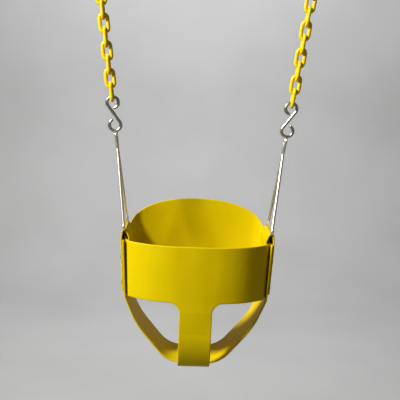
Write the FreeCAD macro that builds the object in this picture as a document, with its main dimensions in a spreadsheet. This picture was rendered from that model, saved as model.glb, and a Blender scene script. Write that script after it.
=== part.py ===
"""Toddler full-bucket swing: a riveted sheet bucket, two rod triangles, two S-hooks, two coated chains and two
spring clips. Millimetres, +Z up, +X to the right, +Y to the back. The origin is the middle of the hanging line,
the straight line through the tops of both spring clips, where the beam's rings bear."""
import FreeCAD, Part
import math
import os

import Sketcher
from FreeCAD import Placement, Rotation, Vector

DOC = FreeCAD.newDocument("bucket_swing")
SHEET = DOC.addObject("Spreadsheet::Sheet", "Sizes")
X_AXIS, Y_AXIS, Z_AXIS = Vector(1, 0, 0), Vector(0, 1, 0), Vector(0, 0, 1)
SIDES = {"left": -1, "right": 1}
LINKS = 9

# ---------------------------------------------------------------- driving sizes; a string is a sheet formula
SIZES = {
    # chain
    "splay_deg": 7.2,
    "link_inner_length": 30.5,
    "coated_radius": 4.2,
    "hook_gap": 0.4,
    "link_span": "=link_inner_length+2*coated_radius",
    "link_bend": "=2*coated_radius+hook_gap",
    "link_pitch": "=link_span-link_bend",
    "link_straight": "=link_span-2*link_bend",
    # spring clip
    "clip_radius": 3.5,
    "clip_inner_length": 60.0,
    "clip_inner_half": 10.0,
    "clip_bend": "=clip_inner_half+clip_radius",
    "gate_radius": 3.0,
    "gate_length": 30.0,
    "gate_slot": 2.6,
    "gate_slot_depth": 7.0,
    "tongue_thick": 2.0,
    "tongue_half": 2.2,
    "tongue_reach": 5.5,
    "tip_gap": 0.6,
    "heel_gap": 1.2,
    "gate_top": 15.0,            # hanging point down to the gate's tip
    "pin_rise": 3.5,             # gate's heel up to its pin
    "pin_radius": 1.1,
    "pin_fit": 0.05,
    "pin_slack": 0.3,
    "pin_head_radius": 2.0,
    "pin_head_thick": 0.7,
    "heel_down": "=gate_top+gate_length",
    "tip_stub": "=gate_top-tip_gap",
    "heel_stub": "=heel_down+heel_gap",
    "clip_middle": "=clip_inner_length/2",
    "clip_top_bend": "=clip_bend-clip_radius",
    "clip_low_bend": "=clip_inner_length+clip_radius-clip_bend",
    # S-hook
    "shook_radius": 3.7,
    "shook_bend": 12.8,
    "shook_half_centres": 25.5,
    "shook_tip_deg": 98.0,
    "shook_tip_across": "=shook_bend*cos((180-shook_tip_deg)*1deg)",
    # rod triangle
    "rod_radius": 3.4,
    "rod_height": 232.5,
    "rod_front": 62.0,
    "rod_rear": 46.0,
    "rod_bend": 8.0,
    "apex_bend": 9.5,
    "rod_half_span": 165.0,
    # bucket sheets
    "lean_deg": 2.8,
    "rod_above_rim": 15.5,
    "side_strap_thick": 4.0,
    "seat_strap_thick": 4.0,
    "back_thick": 3.6,
    "front_thick": 4.0,
    "layer_gap": 0.4,
    "outer_gap": 0.9,
    "fold_slack": 0.3,
    "stack_out": 9.8,
    "side_strap_front": 54.0,
    "side_strap_rear": 42.0,
    "side_strap_drop": 134.5,
    "foot_drop": 13.0,
    "foot_bend": 14.0,
    "seat_strap_front": 64.0,
    "seat_strap_rear": 50.0,
    "band_height": 128.0,
    "front_reach": 107.0,
    "front_flat_half": 42.0,
    "front_arc": 170.0,
    "front_corner": 14.0,
    "flap_rear": 38.0,
    "tee_half": 36.5,
    "tee_fillet": 24.0,
    "tee_sweep": 150.0,
    "tee_sweep_deg": 28.0,
    "tee_tail_end": 14.0,
    "back_reach": 113.0,
    "back_flat_half": 40.0,
    "back_arc": 300.0,
    "back_corner": 48.0,
    "back_front": 50.0,
    "back_rise": 71.5,
    "crown_half": 162.5,
    "crown_power": 2.15,
    "back_tee_half": 34.0,
    "back_tail_end": 10.0,
    "flap_round": 12.0,
    # seat strap's path, from the front rim down and out from the middle
    "seat_depth": 285.0,
    "knee_drop": 130.0,
    "knee_bend": 30.0,
    "flank_half": 133.0,
    "flank_rise": 90.0,          # bend in the flank up from the seat
    "flank_drop": "=seat_depth-flank_rise",
    "flank_bend": 200.0,
    "floor_half": 59.0,
    "floor_bend": 70.0,
    # rivets
    "rivet_radius": 3.0,
    "rivet_slack": 0.1,
    "rivet_head_radius": 7.0,
    "rivet_top_radius": 4.0,
    "rivet_head_height": 2.6,
    "clinch_radius": 5.0,
    "clinch_height": 1.8,
    "washer_radius": 9.0,
    "washer_thick": 1.2,
    "side_rivet_high": 60.0,
    "side_rivet_low": 120.5,
    "side_rivet_front": 38.0,
    "side_rivet_rear": 24.0,
    "seat_rivet_half": 16.0,
    "seat_rivet_front": 34.0,
    "seat_rivet_rear": 28.0,
    # values that follow: distances outward from the rod's axis to the layers' faces
    "rod_clear": "=rod_radius+fold_slack",
    "strap_top_drop": 1.0,
    "side_in": "=stack_out-side_strap_thick",
    "seat_out": "=side_in-outer_gap",
    "seat_in": "=seat_out-seat_strap_thick",
    "back_out": "=seat_in-layer_gap",
    "back_in": "=back_out-back_thick",
    "front_out": "=back_in-layer_gap",
    "front_in": "=front_out-front_thick",
    "inner_out": "=front_in-layer_gap",
    "stack_in": "=inner_out-side_strap_thick",
    "outer_leg": "=stack_out-side_strap_thick/2",
    "inner_leg": "=side_strap_thick/2-inner_out",
    "fold_radius": "=rod_radius+fold_slack+side_strap_thick/2",
    "strap_floor": "=seat_depth-seat_strap_thick/2",
    "strap_mid_out": "=(seat_out+seat_in)/2",
    "strap_top_half": "=rod_half_span+strap_mid_out-rod_above_rim*tan(lean_deg*1deg)",
    "knee_half": "=strap_top_half-knee_drop*tan(lean_deg*1deg)",
}


def fill_sheet():
    for row, (alias, value) in enumerate(SIZES.items(), start=1):
        SHEET.set(f"A{row}", alias)
        SHEET.setAlias(f"B{row}", alias)
        SHEET.set(f"B{row}", str(value))
    DOC.recompute()


fill_sheet()


def size(alias):
    return float(getattr(SHEET, alias))


def sin(degrees):
    return math.sin(math.radians(degrees))


def cos(degrees):
    return math.cos(math.radians(degrees))


def tan(degrees):
    return math.tan(math.radians(degrees))


# ---------------------------------------------------------------- where things sit
SPLAY = size("splay_deg")
LEAN = size("lean_deg")
COAT_R = size("coated_radius")
GAP = size("hook_gap")
PITCH = size("link_pitch")

# distances down the load line from the hanging point to the middles of wires
CLIP_BOTTOM = size("clip_inner_length") + size("clip_radius")
TOP_LINK = CLIP_BOTTOM - (size("clip_radius") + COAT_R + GAP)
CHAIN_END = TOP_LINK + (LINKS - 1) * PITCH + size("link_span")
HOOK_TOP = CHAIN_END - (COAT_R + size("shook_radius") + GAP)
HOOK_BOTTOM = HOOK_TOP + 2 * (size("shook_half_centres") + size("shook_bend"))
APEX = HOOK_BOTTOM - (size("shook_radius") + size("rod_radius") + GAP)
BASE_ROD = APEX + size("rod_height")

HANG_HALF = size("rod_half_span") + BASE_ROD * sin(SPLAY)
ROD_Z = -BASE_ROD * cos(SPLAY)
RIM_Z = ROD_Z - size("rod_above_rim")
BAND_Z = RIM_Z - size("band_height")
SEAT_Z = RIM_Z - size("seat_depth")


def load_line(side, down):
    """Placement on one side's load line: local -Z points down the line."""
    sign = SIDES[side]
    turn = Rotation(Y_AXIS, sign * SPLAY)
    along = Vector(-sign * sin(SPLAY), 0, -cos(SPLAY))
    return Placement(Vector(sign * HANG_HALF, 0, 0) + along * down, turn)


def stack_frame(side):
    """Placement of one side's leaning layers: origin on the base rod's axis, local Z up along the layers."""
    sign = SIDES[side]
    return Placement(Vector(sign * size("rod_half_span"), 0, ROD_Z), Rotation(Y_AXIS, sign * LEAN))


def layer_half(outward, z):
    """Half width, at height z, of the faces that lie that far outward from the rods' axes."""
    return size("rod_half_span") + outward / cos(LEAN) + (z - ROD_Z) * tan(LEAN)


# ---------------------------------------------------------------- sketches
def plane(body, role):
    return [f for f in body.Origin.OriginFeatures if f.Role == role][0]


def new_body(label):
    body = DOC.addObject("PartDesign::Body", label)
    body.Label = label
    return body


def new_sketch(body, name, role, offset=None):
    sketch = body.newObject("Sketcher::SketchObject", name)
    sketch.AttachmentSupport = [(plane(body, role), "")]
    sketch.MapMode = "FlatFace"
    if offset is not None:
        sketch.AttachmentOffset = offset
    return sketch


def bind(sketch, kind, elements, value, alias):
    """A dimension whose value comes from the sheet."""
    index = sketch.addConstraint(Sketcher.Constraint(kind, *elements, value))
    sketch.setExpression(f"Constraints[{index}]", f"Sizes.{alias}")


def fix_across(sketch, point, value, alias):
    """Horizontal place of a point from the sketch's origin; the alias holds its distance."""
    if value > 0:
        bind(sketch, "DistanceX", (-1, 1, *point), value, alias)
    else:
        bind(sketch, "DistanceX", (*point, -1, 1), -value, alias)


def fix_up(sketch, point, value, alias):
    if value > 0:
        bind(sketch, "DistanceY", (-1, 1, *point), value, alias)
    else:
        bind(sketch, "DistanceY", (*point, -1, 1), -value, alias)


def arc(centre, radius, start, end):
    circle = Part.Circle(Vector(centre[0], centre[1], 0), Z_AXIS, radius)
    return Part.ArcOfCircle(circle, math.radians(start), math.radians(end))


def circle_profile(body, name, role, centre, place, radius_alias):
    """Circle whose middle is fixed by place, a list of (axis, value, alias); other coordinates are zero."""
    sketch = new_sketch(body, name, role)
    index = sketch.addGeometry(Part.Circle(Vector(*centre, 0), Z_AXIS, size(radius_alias)))
    fixed = [axis for axis, _, _ in place]
    if "across" not in fixed:
        sketch.addConstraint(Sketcher.Constraint("PointOnObject", index, 3, -2))
    if "up" not in fixed:
        sketch.addConstraint(Sketcher.Constraint("PointOnObject", index, 3, -1))
    for axis, value, alias in place:
        if axis == "across":
            fix_across(sketch, (index, 3), value, alias)
        else:
            fix_up(sketch, (index, 3), value, alias)
    bind(sketch, "Radius", (index,), size(radius_alias), radius_alias)
    return sketch


def pipe(body, name, profile, spine):
    feature = body.newObject("PartDesign::AdditivePipe", name)
    feature.Profile = profile
    feature.Spine = spine
    return feature


# ---------------------------------------------------------------- chain link
def make_link(label, placement):
    body = new_body(label)
    bend = size("link_bend")
    half = size("link_straight") / 2
    path = new_sketch(body, "path", "XZ_Plane")
    right = path.addGeometry(Part.LineSegment(Vector(bend, -half, 0), Vector(bend, half, 0)))
    top = path.addGeometry(arc((0, half), bend, 0, 180))
    left = path.addGeometry(Part.LineSegment(Vector(-bend, half, 0), Vector(-bend, -half, 0)))
    bottom = path.addGeometry(arc((0, -half), bend, 180, 360))
    path.addConstraint([
        Sketcher.Constraint("Tangent", right, 2, top, 1),
        Sketcher.Constraint("Tangent", top, 2, left, 1),
        Sketcher.Constraint("Tangent", left, 2, bottom, 1),
        Sketcher.Constraint("Tangent", bottom, 2, right, 1),
        Sketcher.Constraint("Vertical", right),
        Sketcher.Constraint("Equal", top, bottom),
        Sketcher.Constraint("Symmetric", top, 3, bottom, 3, -1, 1)])
    bind(path, "Radius", (top,), bend, "link_bend")
    bind(path, "DistanceY", (right, 1, right, 2), 2 * half, "link_straight")
    profile = circle_profile(body, "wire", "XY_Plane", (bend, 0), [("across", bend, "link_bend")],
                             "coated_radius")
    pipe(body, "loop", profile, path)
    body.Placement = placement
    return body


# ---------------------------------------------------------------- S-hook
def make_s_hook(label, placement):
    """Letter S in the XZ plane: its upper and lower loops' middles are on the load line."""
    body = new_body(label)
    bend = size("shook_bend")
    half = size("shook_half_centres")
    tip = size("shook_tip_deg")
    slant = math.degrees(math.asin(bend / half))
    touch = Vector(bend * cos(slant), -half + bend * sin(slant), 0)
    lower = new_sketch(body, "lower_half", "XZ_Plane")
    run = lower.addGeometry(Part.LineSegment(Vector(0, 0, 0), touch))
    loop = lower.addGeometry(arc((0, -half), bend, tip - 360, slant))
    shape_half(lower, run, loop, 2, -half)
    upper = new_sketch(body, "upper_half", "XZ_Plane")
    run = upper.addGeometry(Part.LineSegment(Vector(0, 0, 0), touch * -1))
    loop = upper.addGeometry(arc((0, half), bend, tip - 180, slant + 180))
    shape_half(upper, run, loop, 2, half)
    across = Placement(Vector(0, 0, 0), Rotation(Y_AXIS, -slant))
    profile = new_sketch(body, "wire", "XY_Plane", across)
    index = profile.addGeometry(Part.Circle(Vector(0, 0, 0), Z_AXIS, size("shook_radius")))
    profile.addConstraint(Sketcher.Constraint("Coincident", index, 3, -1, 1))
    bind(profile, "Radius", (index,), size("shook_radius"), "shook_radius")
    pipe(body, "lower_wire", profile, lower)
    pipe(body, "upper_wire", profile, upper)
    body.Placement = placement
    return body


def shape_half(sketch, run, loop, joined_end, centre_up):
    free_end = 3 - joined_end
    sketch.addConstraint([
        Sketcher.Constraint("Coincident", run, 1, -1, 1),
        Sketcher.Constraint("PointOnObject", loop, 3, -2),
        Sketcher.Constraint("Tangent", run, 2, loop, joined_end)])
    fix_up(sketch, (loop, 3), centre_up, "shook_half_centres")
    bind(sketch, "Radius", (loop,), size("shook_bend"), "shook_bend")
    tip = sketch.getPoint(loop, free_end)
    fix_across(sketch, (loop, free_end), tip.x, "shook_tip_across")


# ---------------------------------------------------------------- rod triangle
def make_triangle(label, placement):
    """Closed loop in the YZ plane; the top wire's middle is the origin."""
    body = new_body(label)
    path = new_sketch(body, "path", "YZ_Plane")
    radius = {"apex": size("apex_bend"), "front": size("rod_bend"), "rear": size("rod_bend")}
    centre = {
        "apex": Vector(0, -size("apex_bend"), 0),
        "front": Vector(-size("rod_front"), -size("rod_height") + size("rod_bend"), 0),
        "rear": Vector(size("rod_rear"), -size("rod_height") + size("rod_bend"), 0)}
    order = ["apex", "front", "rear"]
    lines = []
    for here, there in zip(order, order[1:] + order[:1]):
        along = (centre[there] - centre[here])
        turn = math.asin((radius[here] - radius[there]) / along.Length)
        along.normalize()
        out = Vector(along.y, -along.x, 0) * -1
        normal = (out * -math.cos(turn)) + along * math.sin(turn)
        lines.append((centre[here] + normal * radius[here], centre[there] + normal * radius[there]))
    edges = [path.addGeometry(Part.LineSegment(a, b)) for a, b in lines]
    arcs = []
    for number, corner in enumerate(order):
        into = lines[number - 1][1] - centre[corner]
        away = lines[number][0] - centre[corner]
        start = math.degrees(math.atan2(into.y, into.x))
        end = math.degrees(math.atan2(away.y, away.x))
        if end < start:
            end += 360
        arcs.append(path.addGeometry(arc(centre[corner], radius[corner], start, end)))
    for number in range(3):
        path.addConstraint(Sketcher.Constraint("Tangent", edges[number - 1], 2, arcs[number], 1))
        path.addConstraint(Sketcher.Constraint("Tangent", arcs[number], 2, edges[number], 1))
    path.addConstraint(Sketcher.Constraint("Horizontal", edges[1]))
    path.addConstraint(Sketcher.Constraint("Equal", arcs[1], arcs[2]))
    path.addConstraint(Sketcher.Constraint("PointOnObject", arcs[0], 3, -2))
    bind(path, "Radius", (arcs[0],), radius["apex"], "apex_bend")
    bind(path, "Radius", (arcs[1],), radius["front"], "rod_bend")
    fix_up(path, (arcs[0], 3), -size("apex_bend"), "apex_bend")
    fix_up(path, (edges[1], 1), -size("rod_height"), "rod_height")
    fix_across(path, (arcs[1], 3), -size("rod_front"), "rod_front")
    fix_across(path, (arcs[2], 3), size("rod_rear"), "rod_rear")
    profile = circle_profile(body, "rod", "XZ_Plane", (0, -size("rod_height")),
                             [("up", -size("rod_height"), "rod_height")], "rod_radius")
    pipe(body, "loop", profile, path)
    body.Placement = placement
    return body


# ---------------------------------------------------------------- side strap
def make_side_strap(label, side):
    """One sheet folded over the base rod; its outer leg is outermost in the stack, its inner leg innermost."""
    body = new_body(label)
    sign = SIDES[side]
    fold = size("fold_radius")
    foot = -size("foot_drop")
    bend = size("foot_bend")
    middle = (size("side_strap_rear") - size("side_strap_front")) / 2
    width = size("side_strap_front") + size("side_strap_rear")
    profile = new_sketch(body, "sheet", "YZ_Plane")
    rectangle(profile, middle - width / 2, middle + width / 2, fold - size("side_strap_thick") / 2,
              size("side_strap_thick"), "side_strap_front", "side_strap_rear", "rod_clear", "side_strap_thick")
    for name, reach, alias, out in (("outer", size("outer_leg"), "outer_leg", sign),
                                    ("inner", size("inner_leg"), "inner_leg", -sign)):
        path = new_sketch(body, f"{name}_path", "XZ_Plane")
        # slanted run: tangent to the fold's arc about the rod and to the foot's arc above the straight leg
        centre = Vector(out * (reach - bend), foot, 0)
        apart = centre.Length
        tilt = math.degrees(math.acos((fold - bend) / apart))
        toward = math.degrees(math.atan2(centre.y, centre.x))
        normal = toward + out * tilt
        if math.cos(math.radians(normal)) * out < 0:
            normal = toward - out * tilt
        unit = Vector(cos(normal), sin(normal), 0)
        rise = math.degrees(math.atan2(unit.y, abs(unit.x)))
        if out > 0:
            top = arc((0, 0), fold, rise, 90)
            low = arc((centre.x, centre.y), bend, 0, rise)
        else:
            top = arc((0, 0), fold, 90, 180 - rise)
            low = arc((centre.x, centre.y), bend, 180 - rise, 180)
        top = path.addGeometry(top)
        run = path.addGeometry(Part.LineSegment(unit * fold, centre + unit * bend))
        low = path.addGeometry(low)
        drop = -size("side_strap_drop")
        leg = path.addGeometry(Part.LineSegment(Vector(out * reach, foot, 0), Vector(out * reach, drop, 0)))
        first, last = (1, 2) if out > 0 else (2, 1)
        path.addConstraint([
            Sketcher.Constraint("Coincident", top, 3, -1, 1),
            Sketcher.Constraint("PointOnObject", top, 3 - first, -2),
            Sketcher.Constraint("Tangent", top, first, run, 1),
            Sketcher.Constraint("Tangent", run, 2, low, last),
            Sketcher.Constraint("Tangent", low, first, leg, 1),
            Sketcher.Constraint("Vertical", leg)])
        bind(path, "Radius", (top,), fold, "fold_radius")
        bind(path, "Radius", (low,), bend, "foot_bend")
        fix_across(path, (leg, 2), out * reach, alias)
        fix_up(path, (leg, 2), drop, "side_strap_drop")
        fix_up(path, (leg, 1), foot, "foot_drop")
        pipe(body, f"{name}_sheet", profile, path)
    body.Placement = stack_frame(side)
    return body


def rectangle(sketch, left, right, low, tall, left_alias, right_alias, low_alias, tall_alias):
    """Upright rectangle to both sides of the sketch's vertical axis, above its origin."""
    corners = [Vector(left, low, 0), Vector(right, low, 0), Vector(right, low + tall, 0),
               Vector(left, low + tall, 0)]
    edges = [sketch.addGeometry(Part.LineSegment(corners[n], corners[(n + 1) % 4])) for n in range(4)]
    for number in range(4):
        sketch.addConstraint(Sketcher.Constraint("Coincident", edges[number], 2, edges[(number + 1) % 4], 1))
    sketch.addConstraint([
        Sketcher.Constraint("Horizontal", edges[0]), Sketcher.Constraint("Horizontal", edges[2]),
        Sketcher.Constraint("Vertical", edges[1]), Sketcher.Constraint("Vertical", edges[3])])
    fix_across(sketch, (edges[0], 1), left, left_alias)
    fix_across(sketch, (edges[0], 2), right, right_alias)
    fix_up(sketch, (edges[0], 1), low, low_alias)
    bind(sketch, "DistanceY", (edges[1], 1, edges[1], 2), tall, tall_alias)


# ---------------------------------------------------------------- seat strap
def make_seat_strap(label):
    """Sling under the seat; its ends rise into both stacks. Local origin: front rim's height, middle plane."""
    body = new_body(label)
    thick = size("seat_strap_thick")
    profile = new_sketch(body, "sheet", "YZ_Plane")
    rectangle(profile, -size("seat_strap_front"), size("seat_strap_rear"), -size("seat_depth"), thick,
              "seat_strap_front", "seat_strap_rear", "seat_depth", "seat_strap_thick")
    top = (size("strap_top_half"), -1.0)
    knee = (size("knee_half"), -size("knee_drop"))
    flank = (size("flank_half"), -size("flank_drop"))
    floor = (size("floor_half"), -size("strap_floor"))
    for name, sign in (("left", -1), ("right", 1)):
        path = new_sketch(body, f"{name}_path", "XZ_Plane")
        corners = [(0.0, floor[1]), floor, flank, knee, top]
        points = [Vector(sign * x, z, 0) for x, z in corners]
        bends = [size("floor_bend"), size("flank_bend"), size("knee_bend")]
        edges, arcs, start = [], [], points[0]
        for number, radius in enumerate(bends, start=1):
            before = (points[number - 1] - points[number]).normalize()
            after = (points[number + 1] - points[number]).normalize()
            half_angle = before.getAngle(after) / 2
            reach = radius / math.tan(half_angle)
            enter, leave = points[number] + before * reach, points[number] + after * reach
            centre = points[number] + (before + after).normalize() * (radius / math.sin(half_angle))
            first = math.degrees(math.atan2(enter.y - centre.y, enter.x - centre.x))
            last = math.degrees(math.atan2(leave.y - centre.y, leave.x - centre.x))
            if sign < 0:
                first, last = last, first
            if last < first:
                last += 360
            edges.append(path.addGeometry(Part.LineSegment(start, enter)))
            arcs.append(path.addGeometry(arc((centre.x, centre.y), radius, first, last)))
            start = leave
        edges.append(path.addGeometry(Part.LineSegment(start, points[-1])))
        enter_end, leave_end = (1, 2) if sign > 0 else (2, 1)
        for number, bend in enumerate(arcs):
            path.addConstraint(Sketcher.Constraint("Tangent", edges[number], 2, bend, enter_end))
            path.addConstraint(Sketcher.Constraint("Tangent", bend, leave_end, edges[number + 1], 1))
        path.addConstraint(Sketcher.Constraint("Horizontal", edges[0]))
        path.addConstraint(Sketcher.Constraint("PointOnObject", edges[0], 1, -2))
        for bend, radius, alias in zip(arcs, bends, ("floor_bend", "flank_bend", "knee_bend")):
            bind(path, "Radius", (bend,), radius, alias)
        fix_up(path, (edges[0], 1), floor[1], "strap_floor")
        fix_up(path, (edges[3], 2), -1.0, "strap_top_drop")
        fix_across(path, (edges[3], 2), sign * top[0], "strap_top_half")
        named = ((floor, edges[0], edges[1], "floor_half", None), (flank, edges[1], edges[2], "flank_half",
                 "flank_drop"), (knee, edges[2], edges[3], "knee_half", "knee_drop"))
        for place, one, other, across_alias, drop_alias in named:
            mark = path.addGeometry(Part.Point(Vector(sign * place[0], place[1], 0)), True)
            path.addConstraint(Sketcher.Constraint("PointOnObject", mark, 1, one))
            path.addConstraint(Sketcher.Constraint("PointOnObject", mark, 1, other))
            fix_across(path, (mark, 1), sign * place[0], across_alias)
            if drop_alias:
                fix_up(path, (mark, 1), place[1], drop_alias)
        pipe(body, f"{name}_sheet", profile, path)
    body.Placement = Placement(Vector(0, 0, RIM_Z), Rotation())
    return body


# ---------------------------------------------------------------- front and back panels
def feature(label, shape):
    made = DOC.addObject("Part::Feature", label)
    made.Label = label
    made.Shape = shape
    return made


def panel_outline(z, outward, reach, flat, bow, corner, end, thick):
    """Level section of a bowed panel whose ends run back along the sides: outer faces at reach and outward."""
    half = layer_half(outward, z)
    across = half - corner - flat
    bow_y = reach - bow
    corner_y = bow_y + math.sqrt((bow - corner) ** 2 - across ** 2)
    turn = math.degrees(math.atan2(corner_y - bow_y, across))

    def chain(inset):
        """Points from the right end round to the left end; arcs carry their middle point."""
        points = [("line", Vector(half - inset, end, z)), ("line", Vector(half - inset, corner_y, z))]
        for radius, centre, start, stop in (
                (corner - inset, Vector(half - corner, corner_y, z), 0, turn),
                (bow - inset, Vector(flat, bow_y, z), turn, 90)):
            for angle in ((start + stop) / 2, stop):
                points.append(("arc", centre + Vector(radius * cos(angle), radius * sin(angle), 0)))
        mirrored = [(kind, Vector(-p.x, p.y, p.z)) for kind, p in reversed(points)]
        return points, mirrored

    def edges(points, mirrored):
        made = [Part.LineSegment(points[0][1], points[1][1])]
        made.append(Part.Arc(points[1][1], points[2][1], points[3][1]))
        made.append(Part.Arc(points[3][1], points[4][1], points[5][1]))
        made.append(Part.LineSegment(points[5][1], mirrored[0][1]))
        made.append(Part.Arc(mirrored[0][1], mirrored[1][1], mirrored[2][1]))
        made.append(Part.Arc(mirrored[2][1], mirrored[3][1], mirrored[4][1]))
        made.append(Part.LineSegment(mirrored[4][1], mirrored[5][1]))
        return [curve.toShape() for curve in made]

    outer, inner = chain(0), chain(thick)
    closing = [Part.LineSegment(outer[0][0][1], inner[0][0][1]).toShape(),
               Part.LineSegment(outer[1][-1][1], inner[1][-1][1]).toShape()]
    return Part.Wire(Part.__sortEdges__(edges(*outer) + edges(*inner) + closing))


def rounded_prism(points, radii, direction, length):
    """Prism of a polygon whose corners are rounded by their radii; zero leaves a corner sharp."""
    edges = []
    count = len(points)
    starts, ends = [], []
    for n, corner in enumerate(points):
        if radii[n] == 0:
            starts.append(corner)
            ends.append(corner)
            continue
        before = (points[n - 1] - corner).normalize()
        after = (points[(n + 1) % count] - corner).normalize()
        half_angle = before.getAngle(after) / 2
        reach = radii[n] / math.tan(half_angle)
        centre = corner + (before + after).normalize() * (radii[n] / math.sin(half_angle))
        middle = centre + (corner - centre).normalize() * radii[n]
        starts.append(corner + before * reach)
        ends.append(corner + after * reach)
        edges.append(Part.Arc(starts[n], middle, ends[n]).toShape())
    for n in range(count):
        if (starts[(n + 1) % count] - ends[n]).Length > 1e-6:
            edges.append(Part.LineSegment(ends[n], starts[(n + 1) % count]).toShape())
    face = Part.Face(Part.Wire(Part.__sortEdges__(edges)))
    return face.extrude(direction * length)


def quarter_tail(half, wall, thick, bend_from, under, end):
    """Strap that leaves a wall at z = bend_from, turns a quarter and runs level under the seat to y = end."""
    sign = math.copysign(1, wall)
    radius = bend_from - under
    centre_y = wall - sign * radius
    corners = [Vector(-half, wall, bend_from), Vector(half, wall, bend_from),
               Vector(half, wall - sign * thick, bend_from), Vector(-half, wall - sign * thick, bend_from)]
    face = Part.Face(Part.makePolygon(corners + corners[:1]))
    bent = face.revolve(Vector(0, centre_y, bend_from), Vector(sign, 0, 0), -90)
    reach = abs(end - centre_y)
    low = min(end, centre_y)
    level = Part.makeBox(2 * half, reach, thick, Vector(-half, low, under))
    return bent.fuse(level)


def swept_tail(half, reach, thick, under, turn_y, end):
    """The crotch strap's foot: a long sweep inward from the wall, a tighter turn that ends at turn_y, then a
    level run to y = end. Returns the solid and the height at which it leaves the wall."""
    sweep, lean = size("tee_sweep"), size("tee_sweep_deg")
    tight = (reach + turn_y - sweep * (1 - cos(lean))) / cos(lean)
    start = under + tight * (1 - sin(lean)) + sweep * sin(lean)
    bends = ((Vector(0, sweep - reach, start), sweep, 0, lean), (Vector(0, turn_y, under + tight), tight, lean, 90))

    def faces(inset):
        made = []
        for centre, radius, first, last in bends:
            made.append(Part.Arc(*[centre - Vector(0, cos(a), sin(a)) * (radius - inset)
                                   for a in (first, (first + last) / 2, last)]).toShape())
        made.append(Part.LineSegment(Vector(0, turn_y, under + inset), Vector(0, end, under + inset)).toShape())
        return made

    ends = [Part.LineSegment(Vector(0, -reach, start), Vector(0, thick - reach, start)).toShape(),
            Part.LineSegment(Vector(0, end, under), Vector(0, end, under + thick)).toShape()]
    face = Part.Face(Part.Wire(Part.__sortEdges__(faces(0) + faces(thick) + ends)))
    face.translate(Vector(-half, 0, 0))
    return face.extrude(X_AXIS * 2 * half), start


def make_front_blank():
    thick = size("front_thick")
    reach = size("front_reach")
    tee = size("tee_half")
    under = SEAT_Z - size("layer_gap") - thick
    tail, bend_from = swept_tail(tee, reach, thick, under, -size("seat_strap_front"), -size("tee_tail_end"))
    args = (size("front_out"), reach, size("front_flat_half"), size("front_arc"), size("front_corner"),
            -size("flap_rear"), thick)
    turned = Rotation(Z_AXIS, 180)
    sections = [panel_outline(z, *args) for z in (RIM_Z, bend_from)]
    wall = Part.makeLoft(sections, True, True)
    wall.Placement = Placement(Vector(0, 0, 0), turned)
    fillet = size("tee_fillet")
    wide = 2 * size("rod_half_span")
    face_y = -2 * reach
    outline = [(-wide, RIM_Z + 5), (wide, RIM_Z + 5), (wide, BAND_Z), (tee, BAND_Z), (tee, bend_from - 5),
               (-tee, bend_from - 5), (-tee, BAND_Z), (-wide, BAND_Z)]
    radii = [0, 0, 0, fillet, 0, 0, fillet, 0]
    tee_prism = rounded_prism([Vector(x, face_y, z) for x, z in outline], radii, Y_AXIS, 4 * reach)
    rear, curl = size("flap_rear"), size("flap_round")
    side = [(face_y, RIM_Z + 5), (rear - curl, RIM_Z + 5), (rear, RIM_Z - curl), (rear, BAND_Z),
            (-size("rod_front"), BAND_Z), (-size("rod_front"), bend_from - 5), (face_y, bend_from - 5)]
    side[1:3] = [(rear, RIM_Z)]
    side[0] = (face_y, RIM_Z)
    radii = [0, curl, curl, 0, 0, 0]
    flap_prism = rounded_prism([Vector(-wide, y, z) for y, z in side], radii, X_AXIS, 2 * wide)
    blank = wall.common(tee_prism).common(flap_prism)
    return feature("front_blank", blank.fuse(tail).removeSplitter())


def make_back_blank():
    thick = size("back_thick")
    reach = size("back_reach")
    under = SEAT_Z - size("layer_gap") - thick
    radius = reach - size("seat_strap_rear")
    bend_from = under + radius
    rise = size("back_rise")
    args = (size("back_out"), reach, size("back_flat_half"), size("back_arc"), size("back_corner"),
            -size("back_front"), thick)
    sections = [panel_outline(z, *args) for z in (RIM_Z + rise + 5, bend_from)]
    wall = Part.makeLoft(sections, True, True)
    tee = size("back_tee_half")
    fillet = size("tee_fillet")
    wide = 2 * size("rod_half_span")
    outline = [(-wide, RIM_Z), (wide, RIM_Z), (wide, BAND_Z), (tee, BAND_Z), (tee, bend_from - 5),
               (-tee, bend_from - 5), (-tee, BAND_Z), (-wide, BAND_Z)]
    radii = [0, 0, 0, fillet, 0, 0, fillet, 0]
    face_y = -2 * reach
    tee_prism = rounded_prism([Vector(x, face_y, z) for x, z in outline], radii, Y_AXIS, 4 * reach)
    half, power = size("crown_half"), size("crown_power")
    crown = []
    for step in range(-12, 13):
        angle = 90 * step / 12
        x = half * math.copysign(abs(sin(angle)) ** (2 / power), angle)
        crown.append(Vector(x, face_y, RIM_Z + rise * cos(angle) ** (2 / power)))
    curve = Part.BSplineCurve()
    curve.interpolate(crown)
    foot = [crown[-1] - Z_AXIS * 2, crown[0] - Z_AXIS * 2]
    rim = [curve.toShape(), Part.LineSegment(crown[-1], foot[0]).toShape(),
           Part.LineSegment(foot[0], foot[1]).toShape(), Part.LineSegment(foot[1], crown[0]).toShape()]
    crown_prism = Part.Face(Part.Wire(Part.__sortEdges__(rim))).extrude(Y_AXIS * 4 * reach)
    blank = wall.common(tee_prism.fuse(crown_prism))
    tail = quarter_tail(tee, reach, thick, bend_from, under, size("back_tail_end"))
    return feature("back_blank", blank.fuse(tail).removeSplitter())


# ---------------------------------------------------------------- rivets, washers and their holes
def cylinder(label, radius_alias, height, placement, height_alias=None, add=0.0):
    made = DOC.addObject("Part::Cylinder", label)
    made.setExpression("Radius", f"Sizes.{radius_alias}" + (f" + Sizes.{add}" if add else ""))
    if height_alias:
        made.setExpression("Height", f"Sizes.{height_alias}")
    else:
        made.Height = height
    made.Placement = placement
    return made


def joined(kind, label, parts):
    made = DOC.addObject(kind, label)
    made.Label = label
    if kind == "Part::Compound":
        made.Links = parts
    else:
        made.Shapes = parts
    return made


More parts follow.
